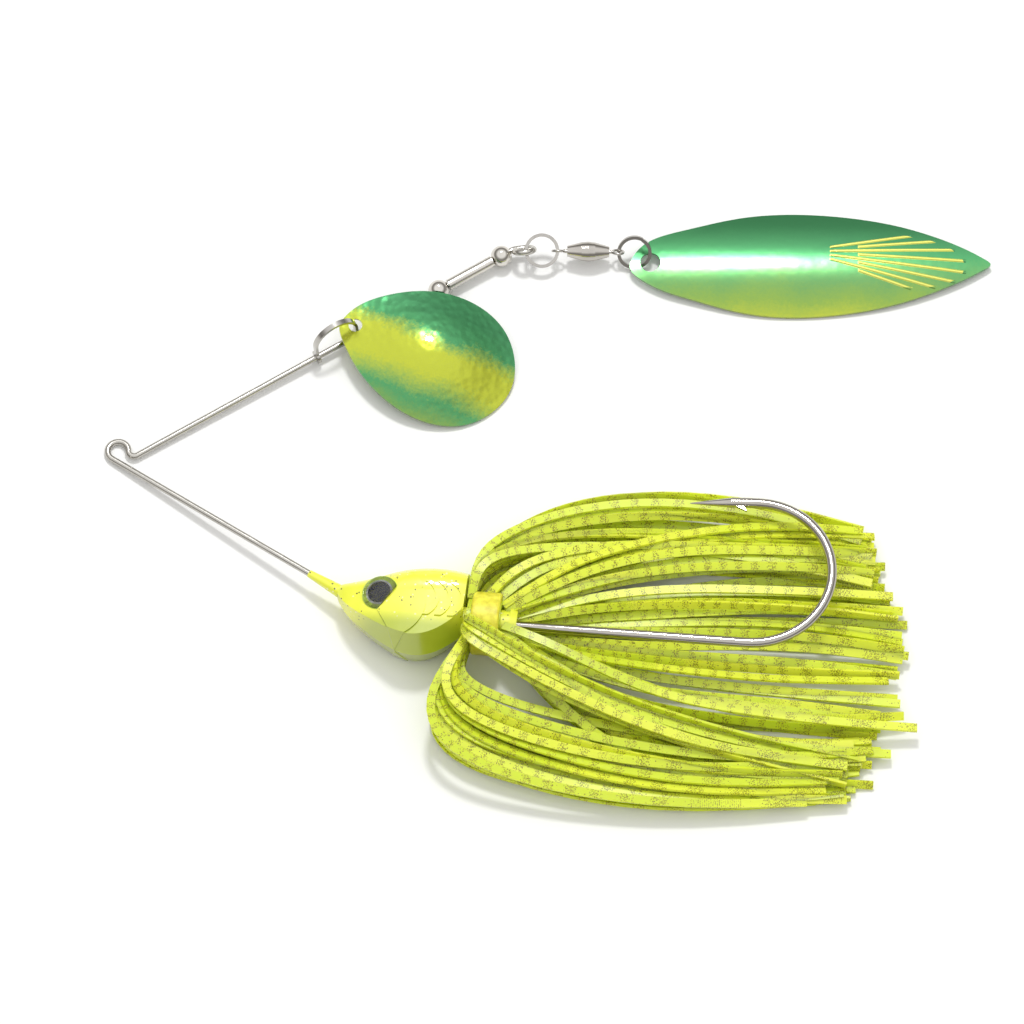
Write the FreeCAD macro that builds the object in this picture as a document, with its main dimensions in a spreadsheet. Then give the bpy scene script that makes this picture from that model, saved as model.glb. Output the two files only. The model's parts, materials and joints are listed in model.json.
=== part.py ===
import FreeCAD, Part
import Sketcher
import math
import os

# Double-arm spinnerbait lying on its side. Millimetres, +Z up, +X from the line
# tie towards the tip of the long blade.

os.makedirs("parts", exist_ok=True)
doc = FreeCAD.newDocument("spinnerbait")
V = FreeCAD.Vector
X_AXIS, Y_AXIS, Z_AXIS = V(1, 0, 0), V(0, 1, 0), V(0, 0, 1)

# ---------------------------------------------------------------- driving sizes
SIZES = [
    # how the lure lies
    ("tie_x", -64.5, "line tie centre, along"),
    ("tie_y", 10.15, "line tie centre, across"),
    ("tie_z", 0.65, "line tie centre, height"),
    ("lie_pitch", 3.2, "rise of the wire plane along X, degrees"),
    ("lie_roll", 3.4, "fall of the wire plane along Y, degrees"),
    # wire
    ("wire_dia", 0.95, "wire thickness"),
    ("tie_bend", 1.56, "line tie loop, centre line radius"),
    ("tie_kink", 0.9, "return bend radius"),
    ("lower_arm", 41.0, "lower arm from loop to nose"),
    ("lower_angle", 33.9, "fall of the lower arm, degrees"),
    ("upper_arm", 64.9, "upper arm, straight part"),
    ("upper_angle", 30.8, "rise of the upper arm, degrees"),
    ("end_bend", 25.0, "bend before the end eye, degrees"),
    ("end_bend_r", 2.0, "radius of that bend"),
    ("eye_run", 1.1, "straight before the end eye"),
    ("eye_bend", 1.4, "end eye, centre line radius"),
    ("eye_lean", 48.0, "end eye turned out of the wire plane, degrees"),
    # head, hook and skirt frame: origin at the collar, X along the hook shank
    ("nose_back", 22.6, "nose ahead of the collar"),
    ("nose_rise", 3.8, "nose above the shank line"),
    ("shank_fall", 6.0, "fall of the shank line, degrees"),
    ("head_half", 4.5, "widest half width of the head"),
    ("relief", 0.3, "height of the gill plate and scales"),
    ("keeper_r", 2.3, "skirt keeper radius"),
    ("keeper_end", 4.6, "keeper end behind the collar"),
    ("eye_r", 2.75, "lure eye radius"),
    ("dome_height", 0.6, "clear dome over the eye"),
    ("hook_dia", 1.5, "hook wire thickness"),
    ("hook_ring", 1.5, "hook eye, centre line radius"),
    ("shank_end", 38.6, "end of the straight shank"),
    ("hook_bend", 11.6, "hook bend, centre line radius"),
    ("point_length", 10.6, "from the bend to the point"),
    ("point_turn", 5.5, "point turned in, degrees"),
    ("barb_length", 2.4, "barb length"),
    ("collar_r", 4.7, "skirt band outer radius"),
    ("collar_width", 4.2, "skirt band width"),
    ("root_r", 3.6, "strand bundle radius under the band"),
    ("soft_gap", 0.35, "gap round soft strand groups"),
    ("core_r", 2.6, "radius of the strands round the shank"),
    ("mat_height", 2.0, "top of the strands under the hook"),
    ("lobe_height", 8.6, "top of the side lobes"),
    # parts on the upper arm
    ("bore_gap", 0.07, "radial clearance on the wire"),
    ("bead_dia", 3.2, "bead diameter"),
    ("tube_od", 1.7, "spacer tube outside"),
    ("tube_length", 7.6, "spacer tube length"),
    ("bead_gap", 0.12, "gap between beads and tube"),
    ("clevis_at", 38.0, "rear leg of the clevis along the arm"),
    ("clevis_width", 6.9, "between the clevis legs"),
    ("clevis_leg", 3.0, "straight height of a leg"),
    ("strap_wide", 0.8, "clevis strap width"),
    ("strap_thick", 0.45, "clevis strap thickness"),
    ("eyelet_r", 1.05, "clevis eyelet radius"),
    # round blade
    ("round_length", 27.3, "round blade length"),
    ("round_width", 20.0, "round blade width"),
    ("round_cup", 5.2, "round blade cup"),
    ("round_thick", 0.5, "round blade thickness"),
    ("round_hole_r", 1.0, "round blade hole radius"),
    ("round_hole_at", 2.15, "hole from the tip"),
    ("round_up", 3.2, "hole above the arm"),
    ("round_yaw", -20.3, "blade turned, degrees"),
    ("round_pitch", 9.3, "blade falls outwards, degrees"),
    ("round_roll", 7.0, "blade falls towards the lower arm, degrees"),
    # rings and swivel
    ("ring_r", 2.35, "split ring, centre line radius"),
    ("ring_wide", 0.5, "split ring coil width"),
    ("ring_coil", 0.26, "split ring coil thickness"),
    ("ring_gap", 0.02, "between the coils"),
    ("ring_pull", 0.3, "ring centre line past the wire eye centre"),
    ("chain_fall", 2.5, "fall of the swivel, degrees"),
    ("front_roll", 24.0, "front ring rolled, degrees"),
    ("rear_roll", 46.0, "rear ring rolled, degrees"),
    ("loop_r", 0.8, "swivel eye, centre line radius"),
    ("loop_wire", 0.4, "swivel eye wire thickness"),
    ("barrel_length", 6.3, "swivel barrel length"),
    ("barrel_r", 1.5, "swivel barrel radius at the middle"),
    ("barrel_end_r", 0.8, "swivel barrel radius at its ends"),
    ("barrel_wall", 0.5, "barrel wall"),
    ("neck", 0.35, "swivel eye to barrel"),
    ("stem_r", 0.3, "swivel stem radius"),
    ("stem_gap", 0.06, "clearance round a stem"),
    ("ball_dia", 0.3, "bearing ball"),
    # long blade
    ("long_length", 54.1, "long blade length"),
    ("long_width", 17.0, "long blade width"),
    ("long_thick", 0.45, "long blade thickness"),
    ("long_bow", 20.0, "long blade radius across"),
    ("long_sweep", 400.0, "long blade radius along"),
    ("long_hole_r", 1.55, "long blade hole radius"),
    ("long_hole_at", 3.0, "hole from the round end"),
    ("long_hang", 0.72, "ring to hole centre"),
    ("long_lift", 0.4, "blade lifted on the ring"),
    ("long_pitch", 0.3, "blade falls towards its tip, degrees"),
    ("link_angle", 37.0, "where the ring goes through the blade, degrees"),
    ("rib_r", 0.26, "embossed rib radius"),
    ("rib_sink", 0.08, "rib centre under the face"),
]
sheet = doc.addObject("Spreadsheet::Sheet", "sizes")
for row, (alias, value, meaning) in enumerate(SIZES, 1):
    sheet.set(f"A{row}", meaning)
    sheet.set(f"B{row}", str(value))
    sheet.setAlias(f"B{row}", alias)
doc.recompute()

def size(alias):
    return float(sheet.get(alias))

# ---------------------------------------------------------------- shared makers
nodes = []

def node(obj, placement):
    """Place a finished piece in the lure and put it on the export list."""
    obj.Placement = placement
    nodes.append(obj)
    return obj

def formed(name, shape, placement):
    """A bent, cast or pressed piece whose shape comes from Part functions."""
    obj = doc.addObject("Part::Feature", name)
    obj.Shape = shape
    return node(obj, placement)

def turned(name, outline, plane="XZ_Plane"):
    """Body of revolution about local Z. Outline: (radius, height) expressions."""
    body = doc.addObject("PartDesign::Body", name)
    sketch = body.newObject("Sketcher::SketchObject", name + "_outline")
    for feature in body.Origin.OriginFeatures:
        if feature.Role == plane:
            sketch.AttachmentSupport = [(feature, "")]
    sketch.MapMode = "FlatFace"
    count = len(outline)
    rough = [V(1 + math.cos(6.2832 * i / count), math.sin(6.2832 * i / count), 0) for i in range(count)]
    for i in range(count):
        sketch.addGeometry(Part.LineSegment(rough[i], rough[(i + 1) % count]))
    for i in range(count):
        sketch.addConstraint(Sketcher.Constraint("Coincident", i, 2, (i + 1) % count, 1))
    for i, (radius, height) in enumerate(outline):
        across = sketch.addConstraint(Sketcher.Constraint("DistanceX", i, 1, rough[i].x))
        sketch.setExpression(f"Constraints[{across}]", radius)
        along = sketch.addConstraint(Sketcher.Constraint("DistanceY", i, 1, rough[i].y))
        sketch.setExpression(f"Constraints[{along}]", height)
    spin = body.newObject("PartDesign::Revolution", name + "_turned")
    spin.Profile = sketch
    spin.ReferenceAxis = (sketch, ["V_Axis"])
    spin.Angle = 360
    body.Tip = spin
    doc.recompute()
    return body

def rounded(body, radius, picks):
    """Round the picked circular edges of a turned body."""
    base = body.Tip
    names = [f"Edge{i + 1}" for i, edge in enumerate(base.Shape.Edges) if picks(edge)]
    fillet = body.newObject("PartDesign::Fillet", body.Name + "_rounded")
    fillet.Base = (base, names)
    fillet.Radius = radius
    body.Tip = fillet
    doc.recompute()

def bend_wire(start, heading, steps):
    """Edges of a wire bent flat: ("run", length) or ("bend", radius, degrees)."""
    edges = []
    point, angle = V(start), heading
    for step in steps:
        ahead = V(math.cos(math.radians(angle)), math.sin(math.radians(angle)), 0)
        if step[0] == "run":
            after = point + ahead * step[1]
            edges.append(Part.LineSegment(point, after).toShape())
        else:
            radius, turn = step[1], step[2]
            side = 1 if turn > 0 else -1
            left = V(-ahead.y, ahead.x, 0)
            centre = point + left * (side * radius)
            arm = point - centre
            middle = centre + FreeCAD.Rotation(Z_AXIS, turn / 2).multVec(arm)
            after = centre + FreeCAD.Rotation(Z_AXIS, turn).multVec(arm)
            edges.append(Part.Arc(point, middle, after).toShape())
            angle += turn
        point = after
    return edges, point, angle

def swept(edges, section):
    """Solid made by carrying a closed section along a smooth path."""
    path = Part.Wire(Part.__sortEdges__(edges))
    return path.makePipeShell([section], True, False)

def round_section(point, ahead, radius):
    return Part.Wire([Part.makeCircle(radius, point, ahead)])

def smooth_outline(points):
    """Closed smooth curve through the points, lying flat."""
    curve = Part.BSplineCurve()
    curve.interpolate([V(x, y, 0) for x, y in points], PeriodicFlag=True)
    return Part.Wire([curve.toShape()])

def slab(points, low, high):
    """Flat solid with a smooth outline between two heights."""
    face = Part.Face(smooth_outline(points))
    face.translate(V(0, 0, low))
    return face.extrude(V(0, 0, high - low))

def turn(axis, degrees):
    return FreeCAD.Rotation(axis, degrees)

def at(point, rotation=None):
    return FreeCAD.Placement(point, rotation or FreeCAD.Rotation())

# ---------------------------------------------------------------- frames
# lure frame: origin in the line tie loop, XY is the plane of the bent wire
lure = at(
    V(size("tie_x"), size("tie_y"), size("tie_z")),
    turn(Y_AXIS, -size("lie_pitch")) * turn(X_AXIS, -size("lie_roll")),
)
wire_r = size("wire_dia") / 2

# the loop runs clockwise from the lower arm over the top to the return bend
loop_start = 270 - size("lower_angle")
loop_radius = size("tie_bend")
loop_point = V(
    loop_radius * math.cos(math.radians(loop_start)),
    loop_radius * math.sin(math.radians(loop_start)),
    0,
)
lower_dir = turn(Z_AXIS, -size("lower_angle")).multVec(X_AXIS)
nose = loop_point + lower_dir * size("lower_arm")
shank_turn = turn(Z_AXIS, -size("shank_fall"))
collar_at = nose + shank_turn.multVec(V(size("nose_back"), -size("nose_rise"), 0))
# body frame: origin at the middle of the collar, X back along the shank
body_frame = lure * at(collar_at, shank_turn)
to_body = at(collar_at, shank_turn).inverse()

# ---------------------------------------------------------------- bent wire
wire_over_hook = size("hook_dia") / 2 + wire_r + 0.3

def wire_edges():
    """Centre line of the whole wire, from inside the hook eye to the end eye."""
    slope = size("lower_angle") - size("shank_fall")
    inner_r = 1.2
    drop = size("nose_rise") - wire_over_hook
    inner_run = drop / math.sin(math.radians(slope)) - inner_r * math.tan(math.radians(slope / 2))
    lower, hook_drop, _ = bend_wire(
        loop_point,
        -size("lower_angle"),
        [
            ("run", size("lower_arm") + inner_run),
            ("bend", inner_r, slope),
            ("run", 3.0),
            ("bend", inner_r, -90),
            ("run", wire_over_hook - inner_r + 1.3),
        ],
    )
    loop, loop_end, heading = bend_wire(
        loop_point, 180 - size("lower_angle"), [("bend", loop_radius, -loop_start)]
    )
    upper, arm_end, heading = bend_wire(
        loop_end,
        heading,
        [
            ("bend", size("tie_kink"), 90 + size("upper_angle")),
            ("run", size("upper_arm")),
            ("bend", size("end_bend_r"), -size("end_bend")),
            ("run", size("eye_run")),
        ],
    )
    arm_start = upper[1].valueAt(upper[1].FirstParameter)
    return lower + loop + upper, arm_start, arm_end, heading, to_body.multVec(hook_drop)

edges, arm_start, eye_foot, eye_heading, hook_eye = wire_edges()
arm_turn = turn(Z_AXIS, size("upper_angle"))
# arm frame: origin at the start of the upper arm, X along it, Z out of the wire plane
arm_frame = lure * at(arm_start, arm_turn)

# the end eye: a loop turned out of the wire plane
eye_ahead = turn(Z_AXIS, eye_heading).multVec(X_AXIS)
eye_side = turn(Z_AXIS, eye_heading).multVec(Y_AXIS)
lean = math.radians(size("eye_lean"))
eye_up = eye_side * -math.cos(lean) + Z_AXIS * math.sin(lean)
eye_centre = eye_foot + eye_up * size("eye_bend")

def eye_point(degrees):
    swing = math.radians(degrees - 90)
    return eye_centre + (eye_ahead * math.cos(swing) + eye_up * math.sin(swing)) * size("eye_bend")

EYE_SWEEP = 304

def wire_shape():
    """Stainless wire with its open line tie and closed end eye."""
    eye = [
        Part.Arc(eye_point(0), eye_point(EYE_SWEEP / 4), eye_point(EYE_SWEEP / 2)).toShape(),
        Part.Arc(eye_point(EYE_SWEEP / 2), eye_point(EYE_SWEEP * 3 / 4), eye_point(EYE_SWEEP)).toShape(),
    ]
    first = edges[4]
    tail = first.valueAt(first.LastParameter)
    heading = first.tangentAt(first.LastParameter)
    section = round_section(tail, heading, wire_r)
    return swept(edges + eye, section)

wire = formed("wire_frame", wire_shape(), lure)

# ---------------------------------------------------------------- hook
hook_r = size("hook_dia") / 2
ring_centre = V(hook_eye.x, 0, 0)

def hook_shape():
    """Forged hook: flat-turned eye, straight shank, round bend, tapered point and barb."""
    bend = size("hook_bend")
    shank_start = ring_centre + V(size("hook_ring"), 0, 0)
    path, point, angle = bend_wire(
        shank_start,
        0,
        [
            ("run", size("shank_end") - shank_start.x),
            ("bend", bend, 180),
            ("bend", bend * 4, size("point_turn")),
        ],
    )
    shaft = swept(path, round_section(shank_start, X_AXIS, hook_r))
    ahead = V(math.cos(math.radians(angle)), math.sin(math.radians(angle)), 0)
    taper = size("point_length") - bend * 4 * math.radians(size("point_turn"))
    spear = Part.makeCone(hook_r, 0.08, taper, point, ahead)
    ring = Part.makeTorus(size("hook_ring"), hook_r * 0.85, ring_centre, Y_AXIS)
    inward = V(ahead.y, -ahead.x, 0)
    if inward.y > 0:
        inward = inward * -1
    root = point - ahead * size("barb_length") * 0.2
    tip = root - ahead * size("barb_length") * 0.75 + inward * (hook_r + 0.75)
    wedge = Part.Face(Part.makePolygon([root + ahead * 1.2, root - ahead * 0.9, tip, root + ahead * 1.2]))
    wedge.translate(V(0, 0, -0.28))
    barb = wedge.extrude(V(0, 0, 0.56))
    return shaft.fuse([spear, ring, barb]).removeSplitter()

hook = formed("hook", hook_shape(), body_frame)

# ---------------------------------------------------------------- cast head
# stations from the nose back: place, crown, keel, chine height, share of half width
STATIONS = [
    (-22.6, 4.5, 2.6, 3.0, 0.20),
    (-20.6, 5.0, -0.4, 0.3, 0.52),
    (-17.3, 5.9, -3.0, -2.1, 0.79),
    (-14.0, 7.1, -5.0, -3.9, 0.94),
    (-10.5, 7.9, -6.0, -4.7, 1.00),
    (-7.0, 8.1, -5.1, -3.5, 0.98),
    (-3.3, 7.6, -2.2, 0.2, 0.92),
]

def head_section(station, extra):
    """One closed section: keel, sharp chines, leaning sides and a round back."""
    place, crown, keel, chine, share = station
    half = size("head_half") * share + extra
    shoulder = chine + 0.6 * (crown - chine)
    narrow = half * 0.86
    low = V(place, keel - extra, 0)
    right, left = V(place, chine, half), V(place, chine, -half)
    right_top, left_top = V(place, shoulder, narrow), V(place, shoulder, -narrow)
    top = V(place, crown + extra, 0)
    return Part.Wire(
        [
            Part.LineSegment(low, right).toShape(),
            Part.LineSegment(right, right_top).toShape(),
            Part.Arc(right_top, top, left_top).toShape(),
            Part.LineSegment(left_top, left).toShape(),
            Part.LineSegment(left, low).toShape(),
        ]
    )

def head_skin(extra):
    return Part.makeLoft([head_section(s, extra) for s in STATIONS], True, False)

RIDGE_TOP, RIDGE_FOOT = V(-12.6, 4.6, 0), V(-16.0, -0.8, 0)

def gill_plate():
    """Prism over the cheek: straight front ridge, rounded rear edge."""
    low, rear, high = V(-13.2, -5.5, 0), V(-8.9, 0.6, 0), V(-11.2, 5.6, 0)
    outline = Part.Wire(
        [
            Part.LineSegment(RIDGE_TOP, RIDGE_FOOT).toShape(),
            Part.LineSegment(RIDGE_FOOT, low).toShape(),
            Part.Arc(low, rear, high).toShape(),
            Part.LineSegment(high, RIDGE_TOP).toShape(),
        ]
    )
    face = Part.Face(outline)
    face.translate(V(0, 0, -8))
    return face.extrude(V(0, 0, 16))

def scale_row(centre_x, radius):
    """One curved raised line behind the gill plate."""
    outer = Part.makeCylinder(radius, 16, V(centre_x, 1.6, -8))
    inner = Part.makeCylinder(radius - 0.55, 16, V(centre_x, 1.6, -8))
    window = Part.makeBox(8, 2 * radius * 0.8, 20, V(centre_x + radius * 0.35, 1.6 - radius * 0.8, -10))
    return outer.cut(inner).common(window)

# the lure eyes sit in sockets square to the cheek
eye_seat = at(V(-15.9, 2.1, size("head_half") * 0.80), turn(Y_AXIS, -11))
SOCKET_DEPTH = 0.35

def both_sides(shape):
    return [shape, shape.mirror(V(0, 0, 0), Z_AXIS)]

def head_shape():
    """Lead head with gill relief, eye sockets, skirt keeper and paint up the wire."""
    base = head_skin(0)
    marks = [gill_plate()] + [scale_row(-10.6 + 1.9 * k, 3.6) for k in range(3)]
    relief = [head_skin(size("relief")).common(mark) for mark in marks]
    keeper_start = -4.0
    keeper = Part.makeCylinder(
        size("keeper_r"), size("keeper_end") - keeper_start, V(keeper_start, 0, 0), X_AXIS
    )
    lip = Part.makeCone(
        size("keeper_r") + 0.45, size("keeper_r"), 1.0, V(size("keeper_end") - 1.0, 0, 0), X_AXIS
    )
    nose_h = V(-size("nose_back"), size("nose_rise"), 0)
    up_wire = turn(Z_AXIS, 180 - size("lower_angle") + size("shank_fall")).multVec(X_AXIS)
    sleeve = Part.makeCone(1.0, wire_r + 0.1, 5.6, nose_h - up_wire * 0.4, up_wire)
    socket = Part.makeCylinder(size("eye_r") + 0.05, 3, V(0, 0, -SOCKET_DEPTH))
    socket.Placement = eye_seat * socket.Placement
    socket = socket.cut(gill_plate())
    head = base.cut(both_sides(socket)[0]).cut(both_sides(socket)[1])
    head = head.fuse(relief + [keeper, lip, sleeve])
    inner_wire = wire.Shape.copy()
    inner_wire.Placement = at(collar_at, shank_turn).inverse()
    bare_hook = hook.Shape.copy()
    bare_hook.Placement = at(V(0, 0, 0))
    return head.cut([inner_wire, bare_hook]).removeSplitter()

head = formed("head", head_shape(), body_frame)

# ---------------------------------------------------------------- lure eyes

def eye_pieces():
    """Printed foil disc and clear resin dome, trimmed along the cheek ridge."""
    foil = Part.makeCylinder(size("eye_r"), SOCKET_DEPTH + 0.1, V(0, 0, -SOCKET_DEPTH))
    dome = Part.makeSphere(1, V(0, 0, 0), Z_AXIS, 0, 90, 360)
    stretch = FreeCAD.Matrix()
    stretch.scale(size("eye_r") - 0.05, size("eye_r") - 0.05, size("dome_height"))
    dome = dome.transformGeometry(stretch)
    dome.translate(V(0, 0, 0.1))
    trim = gill_plate()
    trim.translate(V(-0.03, 0.02, 0))
    out = {}
    for name, shape in (("eye_foil", foil), ("eye_dome", dome)):
        shape.Placement = eye_seat * shape.Placement
        out[name] = shape.cut(trim)
    return out

for piece, shape in eye_pieces().items():
    for side, one in zip(("upper", "lower"), both_sides(shape)):
        formed(f"{side}_{piece}", one, body_frame)

# ---------------------------------------------------------------- skirt
# turned pieces stand along local Z; this lays them along the shank
along_shank = body_frame * at(V(0, 0, 0), turn(Y_AXIS, 90))

collar = turned(
    "skirt_collar",
    [
        ("sizes.root_r", "-sizes.collar_width / 2"),
        ("sizes.collar_r", "-sizes.collar_width / 2"),
        ("sizes.collar_r", "sizes.collar_width / 2"),
        ("sizes.root_r", "sizes.collar_width / 2"),
    ],
)
rounded(collar, 0.4, lambda e: e.Curve.TypeId == "Part::GeomCircle" and e.Curve.Radius > size("root_r") + 0.1)
node(collar, along_shank)

root = turned(
    "skirt_root",
    [
        ("sizes.keeper_r + 0.05", "-sizes.collar_width / 2 - 0.7"),
        ("sizes.root_r", "-sizes.collar_width / 2 - 0.7"),
        ("sizes.root_r", "sizes.collar_width / 2 + 0.1"),
        ("sizes.keeper_r + 0.5", "sizes.collar_width / 2 + 0.1"),
        ("sizes.keeper_r + 0.05", "sizes.collar_width / 2 - 0.9"),
    ],
)
node(root, along_shank)

core = turned(
    "skirt_core",
    [
        ("sizes.hook_dia / 2 + sizes.soft_gap", "sizes.keeper_end + 0.3"),
        ("sizes.core_r", "sizes.keeper_end + 0.3"),
        ("sizes.core_r + 0.6", "sizes.keeper_end + 11"),
        ("sizes.hook_dia / 2 + sizes.soft_gap", "sizes.keeper_end + 11"),
    ],
)
node(core, along_shank)

# loose strands drawn as plain solids: a mat under the hook and two side lobes
MAT = [
    (7, 12), (8, 20), (20, 25.5), (38, 24.5), (52, 23), (60, 10), (63, -4), (58, -17),
    (43, -23), (20, -25.5), (3, -22), (-5, -13), (0, -8), (6, -4), (7.5, 3),
]
UPPER_LOBE = [(-1.5, 8.8), (-1.5, 14), (4, 18), (12, 22), (21, 24), (24, 20), (18, 11), (8, 7.6)]
LOWER_LOBE = [
    (0, -7.8), (-5, -10.5), (-4, -19), (3, -24.5), (20, -26), (40, -25),
    (57, -17), (59, -7), (40, -4.5), (15, -7),
]
middle = body_frame.Base
level = at(V(middle.x, middle.y, 0), turn(Z_AXIS, -size("shank_fall")))
formed("skirt_under", slab(MAT, 0.05, size("mat_height")), level)
formed("skirt_upper_lobe", slab(UPPER_LOBE, size("mat_height") + 0.3, size("lobe_height")), level)
formed("skirt_lower_lobe", slab(LOWER_LOBE, size("mat_height") + 0.3, size("lobe_height")), level)

# ---------------------------------------------------------------- parts on the upper arm
# turned pieces stand along local Z; this lays them along the arm
along_arm = turn(Y_AXIS, 90)
rear_bead_at = size("upper_arm") - size("bead_dia") / 2 - size("bead_gap")
half_tube = size("tube_length") / 2
half_bead = size("bead_dia") / 2 * 0.96
tube_at = rear_bead_at - half_bead - size("bead_gap") - half_tube
front_bead_at = tube_at - half_tube - size("bead_gap") - half_bead

def bead(name, place):
    """Hollow metal bead: a ball with a straight bore."""
    body = doc.addObject("PartDesign::Body", name)
    ball = body.newObject("PartDesign::AdditiveSphere", name + "_ball")
    ball.setExpression("Radius", "sizes.bead_dia / 2")
    bore = body.newObject("PartDesign::SubtractiveCylinder", name + "_bore")
    bore.setExpression("Radius", "sizes.wire_dia / 2 + sizes.bore_gap")
    bore.setExpression("Height", "sizes.bead_dia + 1")
    bore.setExpression(".Placement.Base.z", "-sizes.bead_dia / 2 - 0.5")
    body.Tip = bore
    doc.recompute()
    return node(body, arm_frame * at(V(place, 0, 0), along_arm))

bead("front_bead", front_bead_at)
bead("rear_bead", rear_bead_at)
tube = turned(
    "spacer_tube",
    [
        ("sizes.wire_dia / 2 + sizes.bore_gap", "-sizes.tube_length / 2"),
        ("sizes.tube_od / 2", "-sizes.tube_length / 2"),
        ("sizes.tube_od / 2", "sizes.tube_length / 2"),
        ("sizes.wire_dia / 2 + sizes.bore_gap", "sizes.tube_length / 2"),
    ],
)
node(tube, arm_frame * at(V(tube_at, 0, 0), along_arm))

def clevis_shape():
    """Folded clevis: two drilled eyelets joined by a bowed strap."""
    half = size("clevis_width") / 2
    leg = size("clevis_leg")
    eyelet = size("eyelet_r")
    thick = size("strap_thick")
    start = V(-half, 0, eyelet * 0.6)
    path = [
        Part.LineSegment(start, V(-half, 0, leg)).toShape(),
        Part.Arc(V(-half, 0, leg), V(0, 0, leg + half), V(half, 0, leg)).toShape(),
        Part.LineSegment(V(half, 0, leg), V(half, 0, eyelet * 0.6)).toShape(),
    ]
    wide = size("strap_wide") / 2
    corners = [(-thick / 2, -wide), (thick / 2, -wide), (thick / 2, wide), (-thick / 2, wide)]
    section = Part.makePolygon([start + V(x, y, 0) for x, y in corners + corners[:1]])
    strap = swept(path, section)
    bore = Part.makeCylinder(
        wire_r + size("bore_gap"), size("clevis_width") + 4, V(-half - 2, 0, 0), X_AXIS
    )
    eyelets = [Part.makeCylinder(eyelet, thick, V(s * half - thick / 2, 0, 0), X_AXIS) for s in (-1, 1)]
    return strap.fuse(eyelets).cut(bore).removeSplitter()

clevis_mid = size("clevis_at") - size("clevis_width") / 2
clevis = formed("clevis", clevis_shape(), arm_frame * at(V(clevis_mid, 0, 0)))

# ---------------------------------------------------------------- pressed blades

def pressed_sheet(height, x_range, y_range, thick):
    """Curved sheet of one thickness measured straight down from height(x, y)."""
    across, along = 11, 17
    grid = []
    for i in range(along):
        x = x_range[0] + (x_range[1] - x_range[0]) * i / (along - 1)
        line = []
        for j in range(across):
            y = y_range[0] + (y_range[1] - y_range[0]) * j / (across - 1)
            line.append(V(x, y, height(x, y)))
        grid.append(line)
    surface = Part.BSplineSurface()
    surface.interpolate(grid)
    return surface.toShape().extrude(V(0, 0, -thick))

def teardrop(points, length):
    """Closed outline symmetrical about X, through (place, half width) points."""
    back = [(x, -y) for x, y in reversed(points)]
    return smooth_outline([(0, 0)] + points + [(length, 0)] + back)

def blank(outline, hole_at, hole_r):
    """Punched blank standing through the sheet, moved so the hole is at the origin."""
    face = Part.Face(outline)
    face.translate(V(-hole_at, 0, -12))
    prism = face.extrude(V(0, 0, 24))
    return prism.cut(Part.makeCylinder(hole_r, 30, V(0, 0, -15)))

def round_height(x, y):
    """Bowl with a flatter tip; zero at the hole."""
    def bowl(px, py):
        mid = size("round_length") * 0.55 - size("round_hole_at")
        reach = size("round_length") * 0.29
        wide = size("round_width") * 0.36
        return size("round_cup") * math.exp(-((px - mid) ** 2) / (2 * reach ** 2) - py ** 2 / (2 * wide ** 2))
    return bowl(x, y) - bowl(0, 0)

def round_blade_shape():
    """Round-ended spinner blade pressed into a deep bowl."""
    length, half = size("round_length"), size("round_width") / 2
    outline = teardrop(
        [
            (length * 0.055, half * 0.31), (length * 0.18, half * 0.62), (length * 0.36, half * 0.885),
            (length * 0.60, half), (length * 0.84, half * 0.80), (length * 0.96, half * 0.42),
        ],
        length,
    )
    hole_at = size("round_hole_at")
    sheet_solid = pressed_sheet(
        round_height, (-hole_at - 1, length - hole_at + 1), (-half - 1, half + 1), size("round_thick")
    )
    return sheet_solid.common(blank(outline, hole_at, size("round_hole_r")))

round_hole = arm_frame.multVec(V(size("clevis_at"), 0, size("round_up")))
round_frame = at(
    round_hole,
    turn(Z_AXIS, size("round_yaw"))
    * turn(Y_AXIS, size("round_pitch"))
    * turn(X_AXIS, size("round_roll")),
)
formed("colorado_blade", round_blade_shape(), round_frame)

# ---------------------------------------------------------------- rings and swivel
eye_world = lure.multVec(eye_centre)
ring_mid = size("ring_r")
fall = turn(Y_AXIS, size("chain_fall"))
front_centre = eye_world + fall.multVec(V(ring_mid + size("ring_pull"), 0, 0))
front_frame = at(front_centre, fall * turn(X_AXIS, size("front_roll")))

def split_ring_shape():
    """Two close coils of flat wire."""
    pitch = size("ring_coil") + size("ring_gap")
    coils = Part.makeHelix(pitch, 2 * pitch, ring_mid)
    coils.translate(V(0, 0, -pitch))
    wide, thick = size("ring_wide") / 2, size("ring_coil") / 2
    corners = [(-wide, -thick), (wide, -thick), (wide, thick), (-wide, thick)]
    start = V(ring_mid, 0, -pitch)
    section = Part.makePolygon([start + V(x, 0, z) for x, z in corners + corners[:1]])
    return Part.Wire(coils).makePipeShell([section], True, True)

formed("front_split_ring", split_ring_shape(), front_frame * at(V(0, 0, 0), turn(Z_AXIS, 118)))

loop_out = size("loop_r") + size("loop_wire") / 2
first_loop = ring_mid + 0.1
barrel_from = first_loop + loop_out + size("neck")
second_loop = barrel_from + size("barrel_length") + size("neck") + loop_out
rear_centre = front_frame.multVec(V(second_loop + ring_mid + 0.1, 0, 0))

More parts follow.
